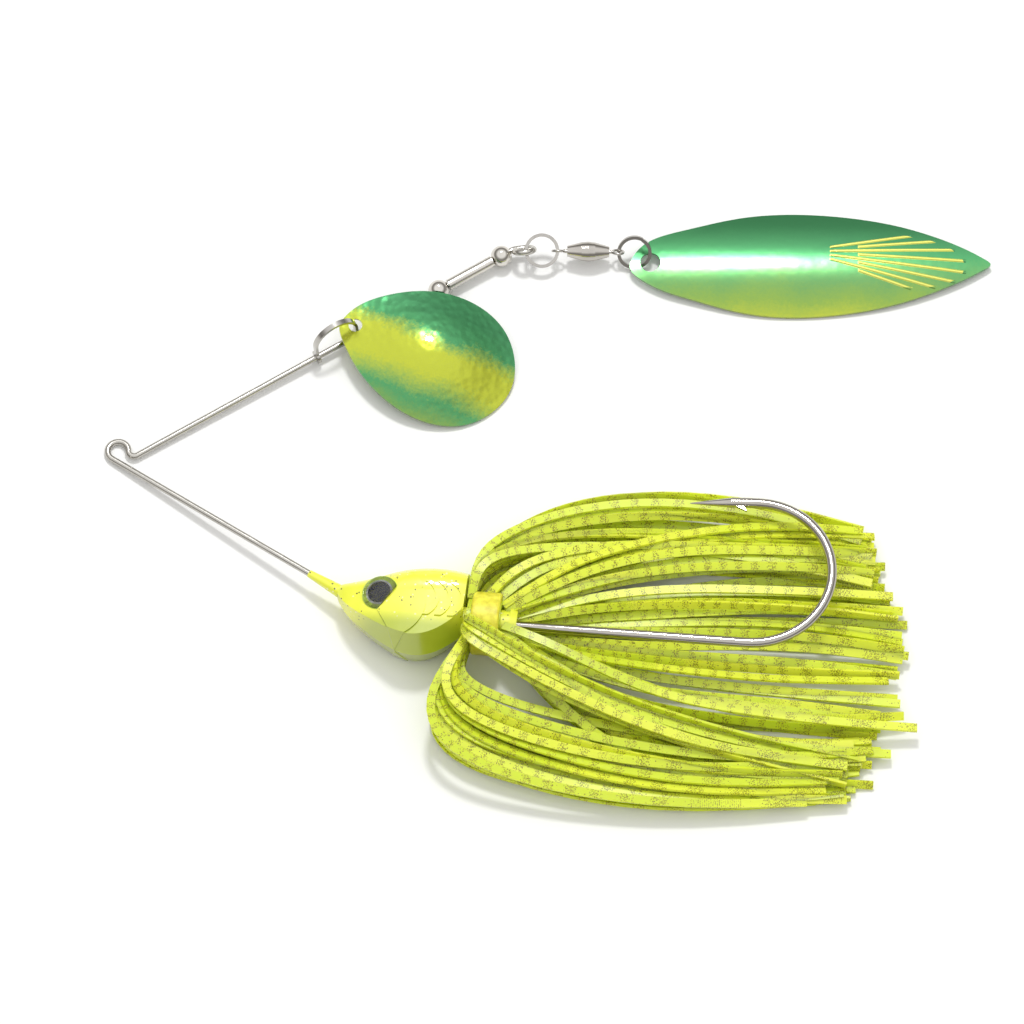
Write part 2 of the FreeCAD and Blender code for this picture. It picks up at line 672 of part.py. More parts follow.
def swivel_eye(name, frame, place, outward):
    """Loop, stem and captured head, built from primitives joined together."""
    loop = doc.addObject("Part::Torus", name + "_loop")
    loop.setExpression("Radius1", "sizes.loop_r")
    loop.setExpression("Radius2", "sizes.loop_wire / 2")
    loop.Placement = at(V(0, 0, 0), turn(X_AXIS, 90))
    stem = doc.addObject("Part::Cylinder", name + "_stem")
    stem.setExpression("Radius", "sizes.stem_r")
    reach = "sizes.loop_wire / 2 + sizes.neck + sizes.barrel_wall + sizes.ball_dia + 0.1"
    stem.setExpression("Height", reach)
    stem.setExpression(".Placement.Base.z", "sizes.loop_r")
    button = doc.addObject("Part::Cylinder", name + "_button")
    button.setExpression("Radius", "sizes.stem_r + 0.32")
    button.setExpression("Height", "0.35")
    button.setExpression(".Placement.Base.z", "sizes.loop_r + " + reach)
    whole = doc.addObject("Part::MultiFuse", name)
    whole.Shapes = [loop, stem, button]
    doc.recompute()
    face = turn(Y_AXIS, 90) if outward < 0 else turn(Y_AXIS, -90)
    return node(whole, frame * at(V(place, 0, 0), face))

# local Z of a swivel eye points into the barrel
swivel_eye("swivel_front_eye", front_frame, first_loop, -1)
rear_frame = at(rear_centre, fall * turn(X_AXIS, size("rear_roll")))
swivel_eye("swivel_rear_eye", rear_frame, -ring_mid - 0.1, 1)

barrel = turned(
    "swivel_barrel",
    [
        ("sizes.stem_r + sizes.stem_gap", "-sizes.barrel_length / 2"),
        ("sizes.barrel_end_r", "-sizes.barrel_length / 2"),
        ("sizes.barrel_r * 0.93", "-sizes.barrel_length * 0.16"),
        ("sizes.barrel_r", "0"),
        ("sizes.barrel_r * 0.93", "sizes.barrel_length * 0.16"),
        ("sizes.barrel_end_r", "sizes.barrel_length / 2"),
        ("sizes.stem_r + sizes.stem_gap", "sizes.barrel_length / 2"),
        ("sizes.stem_r + sizes.stem_gap", "sizes.barrel_length / 2 - sizes.barrel_wall"),
        ("sizes.barrel_end_r - 0.13", "sizes.barrel_length / 2 - sizes.barrel_wall"),
        ("sizes.barrel_r * 0.68", "sizes.barrel_length * 0.25"),
        ("sizes.barrel_r * 0.68", "-sizes.barrel_length * 0.25"),
        ("sizes.barrel_end_r - 0.13", "-sizes.barrel_length / 2 + sizes.barrel_wall"),
        ("sizes.stem_r + sizes.stem_gap", "-sizes.barrel_length / 2 + sizes.barrel_wall"),
    ],
)
barrel_mid = barrel_from + size("barrel_length") / 2
node(barrel, front_frame * at(V(barrel_mid, 0, 0), turn(Y_AXIS, 90)))

rear_ring_turn = rear_frame * at(V(0, 0, 0), turn(Z_AXIS, 62))
formed("rear_split_ring", split_ring_shape(), rear_ring_turn)

# ---------------------------------------------------------------- long blade

def long_height(x, y):
    """Shallow trough pressed across and gently along; zero at the hole."""
    def bowed(px, py):
        mid = size("long_length") * 0.46 - size("long_hole_at")
        return -(py ** 2) / (2 * size("long_bow")) - ((px - mid) ** 2) / (2 * size("long_sweep"))
    return bowed(x, y) - bowed(0, 0)

# embossed ribs fan out from the middle and stop inside the edge
RIBS = 8
RIB_STEPS = 4

def rib(index):
    """One rounded ridge following the face; every second one starts farther out."""
    share = index / (RIBS - 1)
    swell = math.sin(math.pi * share)
    start_x = size("long_length") * 0.5
    start_y = size("long_width") * 0.14 * (1 - share)
    reach = size("long_length") * (0.222 + 0.157 * swell)
    rise = size("long_width") * (0.18 - 0.53 * share) * (0.7 + 0.5 * swell)
    plain = size("long_length") * 0.078 / reach * (index % 2)
    points = []
    for k in range(RIB_STEPS + 1):
        part = plain + (1 - plain) * k / RIB_STEPS
        x = start_x + reach * part
        y = start_y + rise * part
        points.append(V(x, y, long_height(x, y) - size("rib_sink")))
    curve = Part.BSplineCurve()
    curve.interpolate(points)
    edge = curve.toShape()
    section = round_section(points[0], edge.tangentAt(edge.FirstParameter), size("rib_r"))
    return Part.Wire([edge]).makePipeShell([section], True, False)

def long_blade_shape():
    """Willow-leaf blade: rounded hole end, long point, fan of embossed ribs."""
    length, half = size("long_length"), size("long_width") / 2
    outline = teardrop(
        [
            (length * 0.035, half * 0.34), (length * 0.155, half * 0.66), (length * 0.31, half * 0.92),
            (length * 0.46, half), (length * 0.61, half * 0.925), (length * 0.76, half * 0.72),
            (length * 0.89, half * 0.41), (length * 0.985, half * 0.09),
        ],
        length,
    )
    hole_at = size("long_hole_at")
    sheet_solid = pressed_sheet(
        long_height, (-hole_at - 1, length - hole_at + 1), (-half - 1, half + 1), size("long_thick")
    )
    leaf = sheet_solid.common(blank(outline, hole_at, size("long_hole_r")))
    return leaf.fuse([rib(index) for index in range(RIBS)]).removeSplitter()

link = math.radians(size("link_angle"))
through = rear_frame.multVec(V(ring_mid * math.cos(link), -ring_mid * math.sin(link), 0))
long_hole = through + V(size("long_hang") * math.cos(link), -size("long_hang") * math.sin(link), 0)
long_frame = at(
    long_hole + V(0, 0, size("long_thick") / 2 + size("long_lift")), turn(Y_AXIS, size("long_pitch"))
)
formed("willow_blade", long_blade_shape(), long_frame)

# ---------------------------------------------------------------- bearing balls
balls = []
for k in range(6):
    ball = doc.addObject("Part::Sphere", f"bearing_ball_{k + 1}")
    ball.setExpression("Radius", "sizes.ball_dia / 2")
    around = math.radians(60 * k)
    orbit = size("stem_r") + size("ball_dia") / 2 + 0.02
    ball.Placement = at(V(orbit * math.cos(around), orbit * math.sin(around), 0))
    balls.append(ball)
ring_of_balls = doc.addObject("Part::Compound", "bearing_balls")
ring_of_balls.Links = balls
doc.recompute()
race = barrel_from + size("barrel_length") - size("barrel_wall") - size("ball_dia") / 2 - 0.04
node(ring_of_balls, front_frame * at(V(race, 0, 0), turn(Y_AXIS, 90)))

# ---------------------------------------------------------------- check and export
doc.recompute()
for obj in doc.Objects:
    if "Invalid" in obj.State or "Error" in obj.State:
        raise RuntimeError(f"{obj.Name} did not build: {obj.State}")
for obj in nodes:
    shape = obj.Shape
    if shape.isNull() or not shape.isValid() or not shape.Solids:
        raise RuntimeError(f"{obj.Name} has no valid solid")
    obj.Label = obj.Name
    shape.exportStep(f"parts/{obj.Name}.step")
    box = shape.BoundBox
    print(f"{obj.Name:18s} solids {len(shape.Solids)} volume {shape.Volume:8.2f} "
          f"x {box.XMin:7.2f} {box.XMax:7.2f} y {box.YMin:7.2f} {box.YMax:7.2f} z {box.ZMin:6.2f} {box.ZMax:6.2f}")
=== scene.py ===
import json
import math
import random

import bmesh
import bpy
from mathutils import Euler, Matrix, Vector


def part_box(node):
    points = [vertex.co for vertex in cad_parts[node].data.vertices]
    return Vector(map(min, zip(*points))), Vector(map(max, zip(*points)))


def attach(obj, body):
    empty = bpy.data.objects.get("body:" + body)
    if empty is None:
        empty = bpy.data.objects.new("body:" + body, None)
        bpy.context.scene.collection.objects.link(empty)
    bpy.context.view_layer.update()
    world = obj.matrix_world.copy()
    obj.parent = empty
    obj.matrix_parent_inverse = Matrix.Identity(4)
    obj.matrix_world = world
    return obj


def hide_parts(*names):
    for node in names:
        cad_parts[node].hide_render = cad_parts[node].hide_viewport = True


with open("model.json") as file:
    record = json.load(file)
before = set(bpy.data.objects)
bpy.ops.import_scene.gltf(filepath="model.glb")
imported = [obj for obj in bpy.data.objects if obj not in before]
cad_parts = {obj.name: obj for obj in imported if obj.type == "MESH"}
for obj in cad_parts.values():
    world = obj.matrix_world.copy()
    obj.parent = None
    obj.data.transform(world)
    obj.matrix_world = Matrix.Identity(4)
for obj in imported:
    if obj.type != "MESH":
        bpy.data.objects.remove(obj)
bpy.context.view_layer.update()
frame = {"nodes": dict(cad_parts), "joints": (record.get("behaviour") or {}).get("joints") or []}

# ---------------------------------------------------------------------------
# Table top, camera and lamps. The lure lies on a plain white table under a
# pale ceiling, with one bright lamp above and behind it and darker walls around.
mesh = bpy.data.meshes.new("table_top")
top = bmesh.new()
bmesh.ops.create_grid(top, x_segments=1, y_segments=1, size=1.5)
top.to_mesh(mesh)
top.free()
table_top = bpy.data.objects.new("table_top", mesh)
bpy.context.scene.collection.objects.link(table_top)
white_table = bpy.data.materials.new("white_table")
white_table.use_nodes = True
paint = white_table.node_tree.nodes["Principled BSDF"]
paint.inputs["Base Color"].default_value = (0.92, 0.92, 0.91, 1)
paint.inputs["Roughness"].default_value = 0.6
paint.inputs["Specular IOR Level"].default_value = 0.2
table_top.data.materials.append(white_table)

aim = Vector((-0.0057, 0.0005, 0.0))
rise = math.radians(66)
distance = 2.0
seen_width = 0.1526
view = bpy.data.cameras.new("view")
view.lens = view.sensor_width * distance / seen_width
view.clip_start = 0.01
view_object = bpy.data.objects.new("view", view)
view_object.location = aim + Vector((0, -math.cos(rise), math.sin(rise))) * distance
view_object.rotation_euler = (math.radians(90) - rise, 0, 0)
bpy.context.scene.collection.objects.link(view_object)
bpy.context.scene.camera = view_object
bpy.context.scene.view_settings.view_transform = "Standard"


def soft_lamp(name, place, width, height, watts):
    lamp = bpy.data.lights.new(name, "AREA")
    lamp.shape = "RECTANGLE"
    lamp.size = width
    lamp.size_y = height
    lamp.energy = watts
    lamp_object = bpy.data.objects.new(name, lamp)
    lamp_object.location = place
    towards = Vector(place) * -1
    lamp_object.rotation_euler = towards.to_track_quat("-Z", "Y").to_euler()
    bpy.context.scene.collection.objects.link(lamp_object)


soft_lamp("main_lamp", (0.0, 0.28, 0.55), 0.09, 0.07, 1.6)

world = bpy.data.worlds.new("pale_room")
world.use_nodes = True
bpy.context.scene.world = world
tree = world.node_tree
where = tree.nodes.new("ShaderNodeTexCoord")
split = tree.nodes.new("ShaderNodeSeparateXYZ")
shade = tree.nodes.new("ShaderNodeValToRGB")
shade.color_ramp.elements[0].position = 0.0
shade.color_ramp.elements[0].color = (0.90, 0.88, 0.84, 1)
shade.color_ramp.elements[1].position = 0.76
shade.color_ramp.elements[1].color = (1.15, 1.15, 1.15, 1)
wall = shade.color_ramp.elements.new(0.28)
wall.color = (0.25, 0.24, 0.23, 1)
wall_top = shade.color_ramp.elements.new(0.52)
wall_top.color = (0.42, 0.41, 0.39, 1)
tree.links.new(where.outputs["Generated"], split.inputs[0])
tree.links.new(split.outputs["Z"], shade.inputs[0])
tree.links.new(shade.outputs[0], tree.nodes["Background"].inputs[0])
tree.nodes["Background"].inputs[1].default_value = 1.0


# ---------------------------------------------------------------------------
# Bent wire. Spring-tempered stainless wire drawn bright, bent into the open
# line tie and the end eye. Its finish has fine lines left by the drawing die.
def finish_group(name, inputs, outputs):
    """Empty node group with named sockets: (name, type, default)."""
    group = bpy.data.node_groups.new(name, "ShaderNodeTree")
    for label, kind, value in inputs:
        socket = group.interface.new_socket(label, in_out="INPUT", socket_type=kind)
        if value is not None:
            socket.default_value = value
    for label, kind in outputs:
        group.interface.new_socket(label, in_out="OUTPUT", socket_type=kind)
    start = group.nodes.new("NodeGroupInput")
    end = group.nodes.new("NodeGroupOutput")
    return group, start, end


def add(tree, kind, **settings):
    """New shader node: a dict sets its sockets, anything else its settings."""
    node = tree.nodes.new(kind)
    for key, value in settings.items():
        if isinstance(value, dict):
            for label, number in value.items():
                node.inputs[label].default_value = number
        else:
            setattr(node, key, value)
    return node


def wear():
    """Fine polishing marks and handling smudges for every bare metal."""
    group, start, end = finish_group(
        "metal_wear",
        [
            ("Marks", "NodeSocketFloat", 0.15),
            ("Roughness", "NodeSocketFloat", 0.15),
            ("Scale", "NodeSocketFloat", 1500.0),
        ],
        [("Roughness", "NodeSocketFloat"), ("Tone", "NodeSocketFloat"), ("Normal", "NodeSocketVector")],
    )
    place = add(group, "ShaderNodeTexCoord")
    fine = add(group, "ShaderNodeTexNoise", inputs={"Detail": 4.0, "Roughness": 0.6})
    smudge = add(group, "ShaderNodeTexNoise", inputs={"Scale": 260.0, "Detail": 3.0})
    spread = add(group, "ShaderNodeMapRange", inputs={"From Min": 0.3, "From Max": 0.7})
    spread.inputs["To Min"].default_value = 0.7
    spread.inputs["To Max"].default_value = 1.6
    rough = add(group, "ShaderNodeMath", operation="MULTIPLY")
    tone = add(group, "ShaderNodeMapRange", inputs={"From Min": 0.3, "From Max": 0.75})
    tone.inputs["To Min"].default_value = 1.0
    tone.inputs["To Max"].default_value = 0.8
    bump = add(group, "ShaderNodeBump", inputs={"Distance": 0.00002})
    link = group.links.new
    link(place.outputs["Object"], fine.inputs["Vector"])
    link(place.outputs["Object"], smudge.inputs["Vector"])
    link(start.outputs["Scale"], fine.inputs["Scale"])
    link(smudge.outputs["Fac"], spread.inputs["Value"])
    link(spread.outputs[0], rough.inputs[0])
    link(start.outputs["Roughness"], rough.inputs[1])
    link(smudge.outputs["Fac"], tone.inputs["Value"])
    link(fine.outputs["Fac"], bump.inputs["Height"])
    link(start.outputs["Marks"], bump.inputs["Strength"])
    link(rough.outputs[0], end.inputs["Roughness"])
    link(tone.outputs[0], end.inputs["Tone"])
    link(bump.outputs[0], end.inputs["Normal"])
    return group


metal_wear = wear()


def bare_metal(name, colour, roughness, marks, scale):
    """Polished metal with smudges and fine marks."""
    material = bpy.data.materials.new(name)
    material.use_nodes = True
    tree = material.node_tree
    metal = tree.nodes["Principled BSDF"]
    metal.inputs["Metallic"].default_value = 1.0
    worn = add(tree, "ShaderNodeGroup", node_tree=metal_wear)
    worn.inputs["Marks"].default_value = marks
    worn.inputs["Roughness"].default_value = roughness
    worn.inputs["Scale"].default_value = scale
    shade = add(tree, "ShaderNodeMix", data_type="RGBA", blend_type="MULTIPLY")
    shade.inputs["Factor"].default_value = 1.0
    shade.inputs["A"].default_value = (*colour, 1)
    tree.links.new(worn.outputs["Tone"], shade.inputs["B"])
    tree.links.new(shade.outputs["Result"], metal.inputs["Base Color"])
    tree.links.new(worn.outputs["Roughness"], metal.inputs["Roughness"])
    tree.links.new(worn.outputs["Normal"], metal.inputs["Normal"])
    return material


nodes = frame["nodes"]


def finish(node, material):
    """Give a carried-over piece its own material."""
    nodes[node].data.materials.clear()
    nodes[node].data.materials.append(material)


finish("wire_frame", bare_metal("stainless_wire", (0.55, 0.53, 0.49), 0.20, 0.25, 2600))


# ---------------------------------------------------------------------------
# Hook. Forged high-carbon hook with a cut barb, nickel plated and tumbled, so
# the plating is bright with soft ripples.
finish("hook", bare_metal("hook_nickel", (0.50, 0.47, 0.43), 0.10, 0.35, 900))


# ---------------------------------------------------------------------------
# Head. Lead cast round the wire and hook, dipped in chartreuse paint with
# fine black and gold flakes, then clear coated. The paint runs up the wire.
FLAKE_REACH = 0.42  # how far a flake reaches from the middle of its cell, in cells
# Painted shade: between these offsets the belly side is mixed towards a dull yellow-green, standing in for
# the side away from the lamp.
PAINTED_SHADE_START, PAINTED_SHADE_END = -0.0012, -0.0042  # sideways of the head's middle, metres
shank_fall = math.radians(-6.0)  # how the head and hook shank are turned on the table


def flakes():
    """Scattered flakes: a mask of small flat specks of random size."""
    group, start, end = finish_group(
        "flakes",
        [
            ("Vector", "NodeSocketVector", None),
            ("Scale", "NodeSocketFloat", 2200.0),
            ("Share", "NodeSocketFloat", 0.1),
        ],
        [("Mask", "NodeSocketFloat")],
    )
    cells = add(group, "ShaderNodeTexVoronoi", inputs={"Randomness": 1.0})
    chosen = add(group, "ShaderNodeSeparateColor")
    pick = add(group, "ShaderNodeMath", operation="LESS_THAN")
    near = add(group, "ShaderNodeMath", operation="LESS_THAN")
    near.inputs[1].default_value = FLAKE_REACH
    both = add(group, "ShaderNodeMath", operation="MULTIPLY")
    link = group.links.new
    link(start.outputs["Vector"], cells.inputs["Vector"])
    link(start.outputs["Scale"], cells.inputs["Scale"])
    link(cells.outputs["Color"], chosen.inputs[0])
    link(chosen.outputs[0], pick.inputs[0])
    link(start.outputs["Share"], pick.inputs[1])
    link(cells.outputs["Distance"], near.inputs[0])
    link(pick.outputs[0], both.inputs[0])
    link(near.outputs[0], both.inputs[1])
    link(both.outputs[0], end.inputs["Mask"])
    return group


flake_specks = flakes()


def speckled(tree, colour_socket, place_socket, layers):
    """Lay flake colours over a base colour; layers: (scale, share, colour)."""
    for scale, share, colour in layers:
        specks = add(tree, "ShaderNodeGroup", node_tree=flake_specks)
        specks.inputs["Scale"].default_value = scale
        specks.inputs["Share"].default_value = share
        tree.links.new(place_socket, specks.inputs["Vector"])
        over = add(tree, "ShaderNodeMix", data_type="RGBA")
        over.inputs["B"].default_value = (*colour, 1)
        tree.links.new(specks.outputs["Mask"], over.inputs["Factor"])
        tree.links.new(colour_socket, over.inputs["A"])
        colour_socket = over.outputs["Result"]
    return colour_socket


def head_paint():
    """Flaked chartreuse under a clear coat, with painted shade: a dull yellow-green mixed in towards the
    belly, the side turned away from the lamp.
    """
    material = bpy.data.materials.new("head_paint")
    material.use_nodes = True
    tree = material.node_tree
    paint = tree.nodes["Principled BSDF"]
    place = add(tree, "ShaderNodeTexCoord")
    cloud = add(tree, "ShaderNodeTexNoise", inputs={"Scale": 180.0, "Detail": 3.0})
    tree.links.new(place.outputs["Object"], cloud.inputs["Vector"])
    base = add(tree, "ShaderNodeValToRGB")
    base.color_ramp.elements[0].position = 0.30
    base.color_ramp.elements[0].color = (0.80, 0.84, 0.035, 1)
    base.color_ramp.elements[1].position = 0.70
    base.color_ramp.elements[1].color = (0.92, 0.92, 0.08, 1)
    tree.links.new(cloud.outputs["Fac"], base.inputs[0])
    colour = speckled(
        tree,
        base.outputs[0],
        place.outputs["Object"],
        [(2600, 0.06, (0.95, 0.93, 0.45)), (3000, 0.035, (0.10, 0.09, 0.02))],
    )
    below = add(tree, "ShaderNodeMapping", vector_type="TEXTURE")
    low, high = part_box("head")
    below.inputs["Location"].default_value = (Vector(low) + Vector(high)) / 2
    below.inputs["Rotation"].default_value = (0, 0, shank_fall)
    split = add(tree, "ShaderNodeSeparateXYZ")
    belly = add(tree, "ShaderNodeMapRange", interpolation_type="SMOOTHSTEP")
    belly.inputs["From Min"].default_value = PAINTED_SHADE_START
    belly.inputs["From Max"].default_value = PAINTED_SHADE_END
    # Painted shade: the belly side, turned away from the lamp, is mixed towards a dull yellow-green.
    belly_shade = add(tree, "ShaderNodeMix", data_type="RGBA")
    belly_shade.inputs["B"].default_value = (0.44, 0.52, 0.03, 1)
    tree.links.new(place.outputs["Object"], below.inputs["Vector"])
    tree.links.new(below.outputs[0], split.inputs[0])
    tree.links.new(split.outputs["Y"], belly.inputs["Value"])
    tree.links.new(belly.outputs[0], belly_shade.inputs["Factor"])
    tree.links.new(colour, belly_shade.inputs["A"])
    tree.links.new(belly_shade.outputs["Result"], paint.inputs["Base Color"])
    paint.inputs["Roughness"].default_value = 0.32
    paint.inputs["Coat Weight"].default_value = 1.0
    paint.inputs["Coat Roughness"].default_value = 0.12
    ripple = add(tree, "ShaderNodeTexNoise", inputs={"Scale": 420.0, "Detail": 2.0})
    bump = add(tree, "ShaderNodeBump", inputs={"Strength": 0.25, "Distance": 0.00012})
    tree.links.new(place.outputs["Object"], ripple.inputs["Vector"])
    tree.links.new(ripple.outputs["Fac"], bump.inputs["Height"])
    tree.links.new(bump.outputs[0], paint.inputs["Normal"])
    return material


finish("head", head_paint())


# ---------------------------------------------------------------------------
# Lure eyes. A foil disc printed with a black pupil, a silver ring and a lime
# iris sits in a socket on each cheek, under a dome of clear epoxy.
FOIL_RADIUS = 2.75  # mm
PUPIL_EDGE, RING_EDGE = 0.62, 0.72  # shares of the foil's radius


def printed_foil(name, middle, turned):
    """Pupil, ring and iris printed by distance from the middle of the disc."""
    material = bpy.data.materials.new(name)
    material.use_nodes = True
    tree = material.node_tree
    foil = tree.nodes["Principled BSDF"]
    place = add(tree, "ShaderNodeTexCoord")
    local = add(tree, "ShaderNodeMapping", vector_type="TEXTURE")
    local.inputs["Location"].default_value = middle
    local.inputs["Rotation"].default_value = turned
    flat = add(tree, "ShaderNodeVectorMath", operation="MULTIPLY")
    flat.inputs[1].default_value = (1000, 1000, 0)  # to mm, flat on the disc
    reach = add(tree, "ShaderNodeVectorMath", operation="LENGTH")
    streaks = add(tree, "ShaderNodeTexNoise", inputs={"Scale": 2.5, "Detail": 3.0})
    spoke = add(tree, "ShaderNodeVectorMath", operation="NORMALIZE")
    rings = add(tree, "ShaderNodeValToRGB")
    rings.color_ramp.interpolation = "CONSTANT"
    stops = rings.color_ramp.elements
    stops[0].position, stops[0].color = 0.0, (0.010, 0.010, 0.012, 1)
    stops[1].position, stops[1].color = PUPIL_EDGE, (0.70, 0.72, 0.66, 1)
    iris = stops.new(RING_EDGE)
    iris.color = (0.70, 0.95, 0.10, 1)
    share = add(tree, "ShaderNodeMath", operation="DIVIDE")
    share.inputs[1].default_value = FOIL_RADIUS
    tone = add(tree, "ShaderNodeMapRange", inputs={"To Min": 0.55, "To Max": 1.35})
    mixed = add(tree, "ShaderNodeMix", data_type="RGBA", blend_type="MULTIPLY")
    mixed.inputs["Factor"].default_value = 1.0
    link = tree.links.new
    link(place.outputs["Object"], local.inputs["Vector"])
    link(local.outputs[0], flat.inputs[0])
    link(flat.outputs[0], reach.inputs[0])
    link(flat.outputs[0], spoke.inputs[0])
    link(spoke.outputs[0], streaks.inputs["Vector"])
    link(reach.outputs["Value"], share.inputs[0])
    link(share.outputs[0], rings.inputs[0])
    link(streaks.outputs["Fac"], tone.inputs["Value"])
    link(rings.outputs[0], mixed.inputs["A"])
    link(tone.outputs[0], mixed.inputs["B"])
    link(mixed.outputs["Result"], foil.inputs["Base Color"])
    shiny = add(tree, "ShaderNodeMath", operation="GREATER_THAN")
    shiny.inputs[1].default_value = PUPIL_EDGE
    sheen = add(tree, "ShaderNodeMath", operation="MULTIPLY")
    sheen.inputs[1].default_value = 0.35
    link(share.outputs[0], shiny.inputs[0])
    link(shiny.outputs[0], sheen.inputs[0])
    link(sheen.outputs[0], foil.inputs["Metallic"])
    foil.inputs["Roughness"].default_value = 0.3
    return material


def disc_way(node):
    """The way the flat face of a thin disc points, from its largest faces."""
    total = Vector()
    for face in nodes[node].data.polygons:
        way = face.normal if face.normal.z > 0 else -face.normal
        total += way * face.area ** 2
    return total.normalized()


clear_resin = bpy.data.materials.new("clear_resin")
clear_resin.use_nodes = True
resin = clear_resin.node_tree.nodes["Principled BSDF"]
resin.inputs["Transmission Weight"].default_value = 1.0
resin.inputs["IOR"].default_value = 1.5
haze = add(clear_resin.node_tree, "ShaderNodeTexNoise", inputs={"Scale": 900.0, "Detail": 2.0})
haze_place = add(clear_resin.node_tree, "ShaderNodeTexCoord")
haze_range = add(clear_resin.node_tree, "ShaderNodeMapRange", inputs={"To Min": 0.0, "To Max": 0.04})
clear_resin.node_tree.links.new(haze_place.outputs["Object"], haze.inputs["Vector"])
clear_resin.node_tree.links.new(haze.outputs["Fac"], haze_range.inputs["Value"])
clear_resin.node_tree.links.new(haze_range.outputs[0], resin.inputs["Roughness"])
for side in ("upper", "lower"):
    low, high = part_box(side + "_eye_foil")
    middle = (Vector(low) + Vector(high)) / 2
    turned = disc_way(side + "_eye_foil").to_track_quat("Z", "Y").to_euler()
    finish(side + "_eye_foil", printed_foil(side + "_eye_print", middle, turned))
    finish(side + "_eye_dome", clear_resin)


# ---------------------------------------------------------------------------
# Skirt band. A short ring of yellow latex tube stretched over the strands,
# matt with a faint moulding grain.
def band_rubber():
    """Yellow latex, a little translucent."""
    material = bpy.data.materials.new("band_rubber")
    material.use_nodes = True
    tree = material.node_tree
    rubber = tree.nodes["Principled BSDF"]
    place = add(tree, "ShaderNodeTexCoord")
    grain = add(tree, "ShaderNodeTexNoise", inputs={"Scale": 900.0, "Detail": 5.0})
    tone = add(tree, "ShaderNodeValToRGB")
    tone.color_ramp.elements[0].color = (0.62, 0.55, 0.02, 1)
    tone.color_ramp.elements[1].color = (0.90, 0.84, 0.07, 1)
    tone.color_ramp.elements[0].position = 0.3
    tone.color_ramp.elements[1].position = 0.6
    bump = add(tree, "ShaderNodeBump", inputs={"Strength": 0.3, "Distance": 0.0001})
    tree.links.new(place.outputs["Object"], grain.inputs["Vector"])
    tree.links.new(grain.outputs["Fac"], tone.inputs[0])
    tree.links.new(grain.outputs["Fac"], bump.inputs["Height"])
    tree.links.new(tone.outputs[0], rubber.inputs["Base Color"])
    tree.links.new(bump.outputs[0], rubber.inputs["Normal"])
    rubber.inputs["Roughness"].default_value = 0.42
    rubber.inputs["Subsurface Weight"].default_value = 0.25
    rubber.inputs["Subsurface Radius"].default_value = (1.0, 0.8, 0.1)
    rubber.inputs["Subsurface Scale"].default_value = 0.001
    return material


finish("skirt_collar", band_rubber())


# ---------------------------------------------------------------------------
# Skirt. Flat strands cut from flecked silicone sheet, held at their middle by
# the band: the rear halves fan back over the hook, the front halves flare out
# between head and band and fold back in two lobes.
random.seed(7)
collar_low, collar_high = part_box("skirt_collar")
collar_middle = (Vector(collar_low) + Vector(collar_high)) / 2
shank_way = Vector((math.cos(shank_fall), math.sin(shank_fall), 0))
side_way = Vector((-math.sin(shank_fall), math.cos(shank_fall), 0))


def from_band(back, side, height):
    """A point given back along the shank, to the side, and above the table, mm."""
    spot = collar_middle + shank_way * back * 0.001 + side_way * side * 0.001
    spot.z = height * 0.001
    return spot


